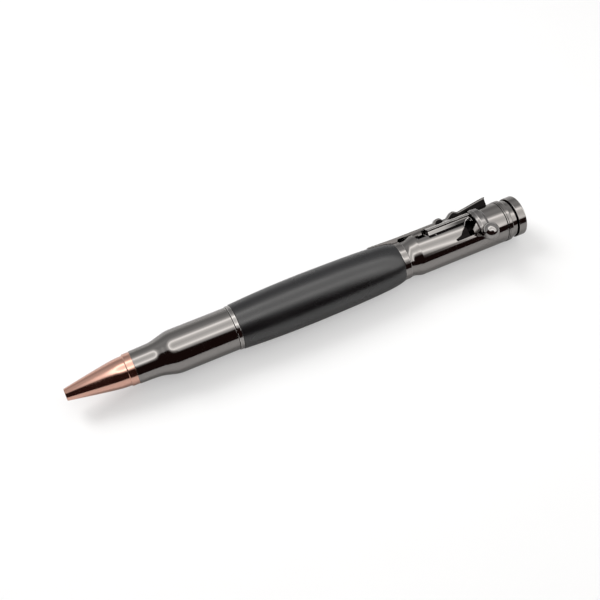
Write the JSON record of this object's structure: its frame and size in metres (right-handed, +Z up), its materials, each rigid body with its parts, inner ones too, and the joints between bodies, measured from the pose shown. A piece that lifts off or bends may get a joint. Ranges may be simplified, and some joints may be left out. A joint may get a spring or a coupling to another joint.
{
  "type": "bolt action pen",
  "caption": "Bolt-action ballpoint pen in the form of a rifle cartridge, with a copper nose, a swelling black barrel, a slotted receiver with a ball handle, and a rifle-shaped clip.",
  "frame": {"origin": "centre of the bounding box in plan, at the height of the surface that the pen lies on", "axes": "+X along the pen from nose to cap, +Z up as the pen lies in the picture with the bolt handle on the upper near side (-Y) and the clip on the far side (+Y)"},
  "size_m": [0.143, 0.0166, 0.0171],
  "materials": {
    "copper_plate": "copper plated, polished",
    "gunmetal": "dark gunmetal plating, mirror polished",
    "blackened": "black plated",
    "bright_plate": "light gunmetal plating, mirror polished",
    "black_barrel": "satin black",
    "brass": "turned brass",
    "steel": "bright spring and rod steel",
    "refill_metal": "satin metal refill tube",
    "refill_plastic": "black moulded plastic"
  },
  "bodies": {
    "pen_body": {"barrel_sleeve": "black_barrel", "inner_tube": "brass", "rear_coupler": "brass", "receiver": "gunmetal", "end_cap": "gunmetal", "thread_ring": "bright_plate", "spring_washer": "steel", "bolt_spring": "steel"},
    "bolt": {"bolt_head": "blackened", "guide_rail": "bright_plate", "push_rod": "steel", "retaining_nut": "steel", "refill_tube": "refill_metal", "refill_plug": "refill_plastic", "refill_point": "brass", "writing_ball": "steel"},
    "handle": {"bolt_sleeve": "blackened", "handle_arm": "bright_plate", "handle_knob": "bright_plate", "knob_stud": "steel"},
    "nose_carrier": {"nib_spring": "steel"},
    "nose": {"front_casing": "gunmetal", "bullet_tip": "copper_plate"},
    "clip": {"rifle_clip": "gunmetal", "clip_rivets": "steel"}
  },
  "joints": [
    {"name": "bolt_slide", "type": "slide", "parent": "pen_body", "child": "bolt", "axis": [-1, 0, 0], "range_m": [0, 0.0042], "stiffness_N_per_m": 150, "springref_m": -0.004, "deforming": ["bolt_spring", "nib_spring"]},
    {"name": "bolt_turn", "type": "hinge", "parent": "bolt", "child": "handle", "pos_m": [0.0515, 0.00013, 0.0074], "axis": [1, 0, 0], "range_deg": [0, 29]},
    {"name": "nose_advance", "type": "slide", "parent": "pen_body", "child": "nose_carrier", "axis": [-1, 0, 0], "range_m": [0, 0.00375]},
    {"name": "nose_turn", "type": "hinge", "parent": "nose_carrier", "child": "nose", "pos_m": [-0.0315, 0.00013, 0.0074], "axis": [-1, 0, 0], "range_deg": [0, 1800]},
    {"name": "clip_flex", "type": "hinge", "parent": "pen_body", "child": "clip", "pos_m": [0.0637, 0.00568, 0.01028], "axis": [0, 0.4602, -0.8878], "range_deg": [0, 2.5], "stiffness_Nm_per_rad": 0.15, "springref_deg": -11.46}
  ],
  "couplings": [
    {"joint": "nose_turn", "follows": "nose_advance", "rad_per_m": 8377.6}
  ]
}
